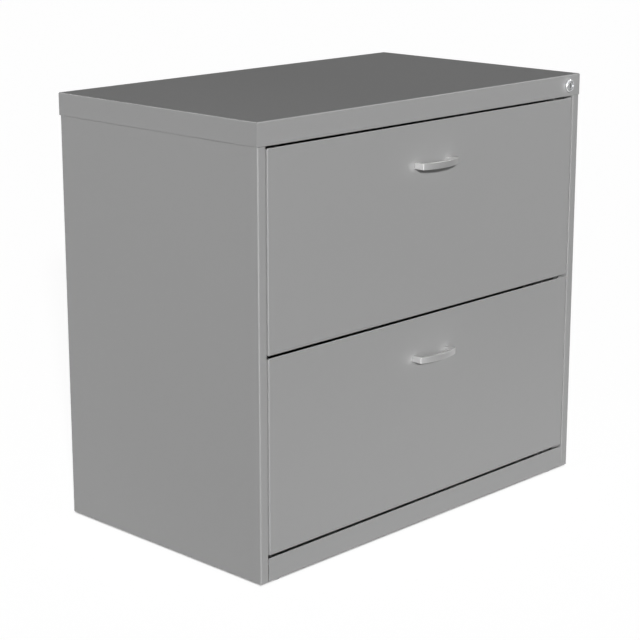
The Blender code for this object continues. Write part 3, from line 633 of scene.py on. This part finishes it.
class Finish(Graph):
    """The material of one of the record's slots, on a Principled shader.

    Plain values are given by the names of the shader's sockets, in small letters."""

    def __init__(self, slot, **plain):
        material = bpy.data.materials.new(slot + "_finish")
        material.use_nodes = True
        super().__init__(material.node_tree)
        self.shader = self.tree.nodes["Principled BSDF"]
        for name, value in plain.items():
            title = name.replace("_", " ").title().replace("Ior", "IOR")
            self.shader.inputs[title].default_value = value
        self.place = self.add("TexCoord", out="Object")
        finishes[slot] = material

    def noise(self, scale, detail, stretch=(1, 1, 1)):
        """Noise from 0 to 1 at a scale per metre, stretched along the axes."""
        place = self.add("Mapping", None, {"Vector": self.place, "Scale": stretch})
        return self.add("TexNoise", None, {"Vector": place, "Scale": scale, "Detail": detail})

    def blend(self, share, first, second):
        """A colour between two."""
        return self.add("Mix", {"data_type": "RGBA"},
                        {0: share, 6: (*first, 1), 7: (*second, 1)}, out=2)

    def set(self, title, value):
        """Drive one of the shader's own sockets."""
        self.feed(self.shader.inputs[title], value)

    def bump(self, height, depth, strength):
        """Fine relief from a height map, depth in metres."""
        self.set("Normal", self.add("Bump", None, {"Height": height, "Distance": depth,
                                                   "Strength": strength}))


# %% [markdown]
# ## Powder coat
#
# The steel is powder coated in a light silver grey. Powder melts into a skin that is never
# quite level: at arm's length it is even, but a low light shows a fine orange peel, a
# millimetre or two from crest to crest and a few thousandths deep. The coat is also a little
# thicker here and thinner there, which moves the grey by a few hundredths. A plain grey would
# look like plastic, and real bumps in the mesh would cost millions of faces, so two noises move
# the tone and a third, much finer, drives the relief.

# %% The paint
PAINT = (0.33, 0.33, 0.33)
PAINT_STRAY = 0.03       # how far the grey strays to either side

paint = Finish("silver_grey_paint", roughness=0.46, specular_ior_level=0.35)
cloud = paint.noise(scale=2.2, detail=4)
fine = paint.noise(scale=60, detail=3)
peel = paint.noise(scale=520, detail=1)
darker, lighter = [[channel * factor for channel in PAINT]
                   for factor in (1 - PAINT_STRAY, 1 + PAINT_STRAY)]
paint.set("Base Color", paint.blend(cloud * 0.75 + fine * 0.25, darker, lighter))
paint.set("Roughness", cloud * 0.06 + peel * 0.04 + 0.41)
paint.bump(peel, depth=0.00001, strength=0.35)
print("paint:", len(paint.tree.nodes), "nodes")

# %% [markdown]
# ## Bare metals
#
# Zinc plate is bright with a faint blue-grey bloom and the marks of rolling. Satin nickel is
# brushed along the bar. Chrome is nearly a mirror, and only a trace of unevenness keeps it from
# looking like a computer's. The cages are plain brass strip. The anisotropic socket could
# stretch the highlights of brushed metal, but it needs tangents on every mesh; noise that is
# stretched along the marks does the same from the place alone.

# %% Zinc and nickel
zinc = Finish("zinc_plated_steel", metallic=1.0, roughness=0.32)
bloom = zinc.noise(scale=35, detail=5)
rolled = zinc.noise(scale=400, detail=3, stretch=(1, 0.04, 1))
zinc.set("Base Color", zinc.blend(bloom, (0.55, 0.56, 0.565), (0.68, 0.68, 0.66)))
zinc.set("Roughness", bloom * 0.12 + rolled * 0.08 + 0.24)
zinc.bump(rolled, depth=0.00002, strength=0.4)

nickel = Finish("satin_nickel", metallic=1.0, roughness=0.30)
brushed = nickel.noise(scale=2600, detail=3, stretch=(0.02, 1, 1))
patches = nickel.noise(scale=90, detail=2)
nickel.set("Base Color", nickel.blend(brushed, (0.52, 0.52, 0.52), (0.66, 0.66, 0.655)))
nickel.set("Roughness", brushed * 0.10 + patches * 0.06 + 0.33)
nickel.bump(brushed, depth=0.00002, strength=0.3)
print("zinc:", len(zinc.tree.nodes), "nodes, nickel:", len(nickel.tree.nodes))

# %% Chrome and brass
chrome = Finish("polished_chrome", metallic=1.0, roughness=0.10)
haze = chrome.noise(scale=500, detail=3)
chrome.set("Base Color", chrome.blend(haze, (0.76, 0.77, 0.78), (0.84, 0.84, 0.85)))
chrome.set("Roughness", haze * 0.08 + 0.06)

brass = Finish("cage_brass", metallic=1.0, roughness=0.35)
rolled = brass.noise(scale=500, detail=3, stretch=(1, 0.05, 1))
brass.set("Base Color", brass.blend(rolled, (0.56, 0.43, 0.22), (0.68, 0.53, 0.30)))
brass.set("Roughness", rolled * 0.15 + 0.28)
brass.bump(rolled, depth=0.00002, strength=0.3)
print("chrome:", len(chrome.tree.nodes), "nodes, brass:", len(brass.tree.nodes))

# %% [markdown]
# ## Nylon and primer
#
# The glides are moulded nylon with the fine grain of the mould and a few scuffs, and the
# ballast is a sawn bar with dark primer brushed on. Neither is often seen, so each makes do with
# one or two noises: grain that is even in all directions for what was moulded, and noise
# stretched into strokes for what was brushed.

# %% Nylon and primer
nylon = Finish("grey_glide_nylon", roughness=0.5)
grain = nylon.noise(scale=1500, detail=2)
scuff = nylon.noise(scale=120, detail=4)
nylon.set("Base Color", nylon.blend(scuff, (0.31, 0.31, 0.31), (0.37, 0.37, 0.37)))
nylon.set("Roughness", grain * 0.15 + scuff * 0.1 + 0.38)
nylon.bump(grain, depth=0.00003, strength=0.5)

primer = Finish("primed_ballast_steel", roughness=0.6)
strokes = primer.noise(scale=160, detail=5, stretch=(0.1, 1, 1))
primer.set("Base Color", primer.blend(strokes, (0.08, 0.08, 0.09), (0.13, 0.13, 0.14)))
primer.set("Roughness", strokes * 0.25 + 0.45)
primer.bump(strokes, depth=0.0001, strength=0.5)
print("finishes:", sorted(finishes))

# %% [markdown]
# ## Dressing everything
#
# The new pieces know their slot, and the frame's record says which slot each of its own nodes
# belongs to. So one loop paints both, and nothing is left bare.

# %% Give each piece its finish
for item, slot in list(placed.items()) + [(node, slots[name]) for name, node in nodes.items()]:
    item.data.materials.clear()
    item.data.materials.append(finishes[slot])
print("dressed", len(placed), "new pieces and", len(nodes), "nodes of the frame")

# %% [markdown]
# ## The studio
#
# The cabinet stands on a white floor under plain soft light. White that comes from stronger
# lamps would burn the paint out, so the whiteness is told apart from the lighting: rays that
# come from the camera, or that metal mirrors, see a white world and a nearly white floor, and
# all other rays see a dim room. The floor is still partly a matt surface, which keeps the
# shadow. It throws little light back up, and right under the case it is matt alone, so that the
# dark inside shows through the gaps.

# %% The world
ROOM = 0.02              # light of the room from all round


def seen_directly(graph):
    """1 for a ray from the camera, or one that was mirrored or let through."""
    seen = graph.add("LightPath", out="Is Camera Ray")
    for title in ("Is Glossy Ray", "Is Transmission Ray"):
        seen = seen.maths("MAXIMUM", graph.add("LightPath", out=title))
    return seen


world = bpy.data.worlds.new("plain_room")
bpy.context.scene.world = world
world.use_nodes = True
room = Graph(world.node_tree)
background = room.tree.nodes["Background"]
room.feed(background.inputs["Color"], (1, 1, 1, 1))
room.feed(background.inputs["Strength"], room.add(
    "MapRange", None, {"Value": seen_directly(room), "To Min": ROOM, "To Max": 1.0}))
print("room light:", ROOM, "and 1 where it is seen")

# %% The dark under the case
UNDER = 0.007            # the dark starts here, in from the front and left edges of the case
BEYOND = 0.008           # and reaches this far past the other two
UNDER_FADE = 0.004


def clear_of_case(graph):
    """0 on the floor well under the case, and 1 where the floor is open."""
    dark_low = cap_low + Vector((UNDER, UNDER, 0))
    dark_high = cap_high + Vector((BEYOND, BEYOND, 0))
    place = graph.add("TexCoord", out="Object")
    place = graph.add("VectorMath", {"operation": "SUBTRACT"},
                      {0: place, 1: (dark_low + dark_high) / 2})
    place = graph.add("VectorMath", {"operation": "ABSOLUTE"}, {0: place})
    clear = []
    for k, edge in enumerate((dark_high - dark_low).xy / 2):
        along = graph.add("SeparateXYZ", None, {0: place}, out=k)
        clear.append(graph.add("MapRange", None, {"Value": along, "From Min": edge - UNDER_FADE,
                                                  "From Max": edge}))
    return clear[0].maths("MAXIMUM", clear[1])


# %% The floor
FLOOR_SIZE = 80.0
FLOOR_GLOW = 0.86        # share of the floor that is plain white to the camera
FLOOR_WHITE = 1.1        # strength of that white
FLOOR_PALE = 0.8         # paleness of the matt share to the camera
FLOOR_BOUNCE = 0.05      # and to the light that it throws back


class StudioSurface(Graph):
    """A material of the studio, with no shader in it yet."""

    def __init__(self, name):
        self.material = bpy.data.materials.new(name)
        self.material.use_nodes = True
        super().__init__(self.material.node_tree)
        self.tree.nodes.remove(self.tree.nodes["Principled BSDF"])

    def show(self, shader):
        """Send a shader to the surface."""
        self.feed(self.tree.nodes["Material Output"].inputs["Surface"], shader)


focus()
bpy.ops.mesh.primitive_plane_add(size=FLOOR_SIZE, location=(0, 0, 0))
floor = settled("floor")
paper = StudioSurface("white_floor")
seen = seen_directly(paper)
paleness = paper.add("MapRange", None, {"Value": seen, "To Min": FLOOR_BOUNCE,
                                        "To Max": FLOOR_PALE})
matt = paper.add("BsdfDiffuse", None, {"Color": paleness})
glow = paper.add("Emission", None, {"Strength": FLOOR_WHITE})
share = paper.add("MapRange", None, {"Value": seen * clear_of_case(paper), "To Max": FLOOR_GLOW})
paper.show(paper.add("MixShader", None, {0: share, 1: matt, 2: glow}))
floor.data.materials.append(paper.material)
print("floor:", FLOOR_SIZE, "m square,", len(paper.tree.nodes), "nodes")

# %% [markdown]
# ## Lamps
#
# The front is lit evenly from corner to corner. Area lamps are the studio's usual choice, but
# they fade across a cabinet this wide, so all the lamps here are Suns, which light it alike
# everywhere. The key stands low, to the left: the front and the side are lit nearly alike, the
# top, which it only grazes, stays darker, and each pull throws a short shadow. A soft, level
# fill lightens that shadow, and a lamp behind lights the back and the right side for other
# views. Three more are seen by reflections alone: one brightens the ends of the pulls, and two
# draw the thin light lines on the folds of the cap. A lamp is placed by its bearing round the
# cabinet and its height in degrees, as a photographer would note it.

# %% Place the lamps
def towards(bearing, rise):
    """The direction of a bearing, which is 0 straight in front and positive to the left."""
    turn, lift = radians(bearing), radians(rise)
    return Vector((-sin(turn) * cos(lift), -cos(turn) * cos(lift), sin(lift)))


def lamp(name, bearing, rise, strength, spread):
    """A Sun; its spread in degrees softens the edges of shadows."""
    data = bpy.data.lights.new(name, "SUN")
    data.energy, data.angle = strength, radians(spread)
    item = bpy.data.objects.new(name, data)
    item.rotation_euler = towards(bearing, rise).to_track_quat("Z", "Y").to_euler()
    bpy.context.scene.collection.objects.link(item)
    print(name, "at", bearing, "degrees round and", rise, "up")
    return item


lamp("key_lamp", bearing=37, rise=20, strength=3.14, spread=3)
lamp("fill_lamp", bearing=46, rise=3, strength=0.86, spread=20)
lamp("rear_lamp", bearing=-135, rise=0.5, strength=3.2, spread=1).visible_glossy = False
for glint in (lamp("metal_lamp", bearing=88, rise=8, strength=6.5, spread=20),
              lamp("side_rim_lamp", bearing=166, rise=46, strength=1.3, spread=10),
              lamp("front_rim_lamp", bearing=-78, rise=40, strength=1.3, spread=10)):
    glint.visible_diffuse = False

# %% [markdown]
# ## Cards
#
# White all round makes metal look like paper. A picture of a room could be wrapped round the
# scene, but it would light the paint too. So cards stand where only reflections see them. The
# grey ones at the front right give the pulls and the lock something to mirror, darker towards
# the floor as a room is, and the slit between them draws the glint on each pull. The black one
# behind keeps the sheen off the top.

# %% Place the cards
def card(name, bearing, distance, width, height, foot=0.0, head=0.0):
    """An upright card that only reflections see, as bright as foot below and as head above."""
    focus()
    bpy.ops.mesh.primitive_plane_add(size=1, rotation=(pi / 2, 0, radians(-bearing)),
                                     location=towards(bearing, 0) * distance
                                     + Vector((0, 0, height / 2)))
    bpy.context.object.scale = (width, height, 1)
    item = settled(name)
    grey = StudioSurface(name + "_grey")
    level = grey.add("SeparateXYZ", None, {0: grey.add("TexCoord", out="Object")}, out="Z")
    ramp = grey.add("MapRange", None, {"Value": level, "From Max": height, "To Min": foot,
                                       "To Max": head})
    grey.show(grey.add("Emission", None, {"Strength": ramp}))
    item.data.materials.append(grey.material)
    item.visible_camera = item.visible_diffuse = item.visible_shadow = False
    print(name, "is", width, "by", height, "m")


card("front_card", bearing=-28, distance=1.0, width=1.9, height=0.70, foot=0.16, head=0.46)
card("right_card", bearing=-96, distance=1.0, width=0.6, height=0.70, foot=0.16, head=0.46)
card("rear_card", bearing=-134, distance=2.2, width=6.0, height=3.6)

# %% [markdown]
# ## The camera
#
# The photograph was taken with a long lens from the front left, a little above the cabinet. A
# camera could be set by eye, but the corners of the case tell its place, its turn and its lens,
# so these were worked back from them. A small shift sets the cabinet in the frame.

# %% Place the camera
CAMERA_PLACE = (-2.160, -2.0545, 1.0993)
CAMERA_PITCH = 13.91     # degrees below the horizon
CAMERA_TURN = 45.96      # degrees round, to the right
LENS = 103.23            # millimetres
SHIFT = -0.05            # share of the frame's width

bpy.ops.object.camera_add(location=CAMERA_PLACE,
                          rotation=(radians(90 - CAMERA_PITCH), 0, radians(-CAMERA_TURN)))
camera = bpy.context.object
camera.data.lens = LENS
camera.data.shift_y = SHIFT
bpy.context.scene.camera = camera
bpy.context.scene.view_settings.view_transform = "Standard"
print("camera:", round(camera.location.length, 2), "m away, lens", LENS, "mm")
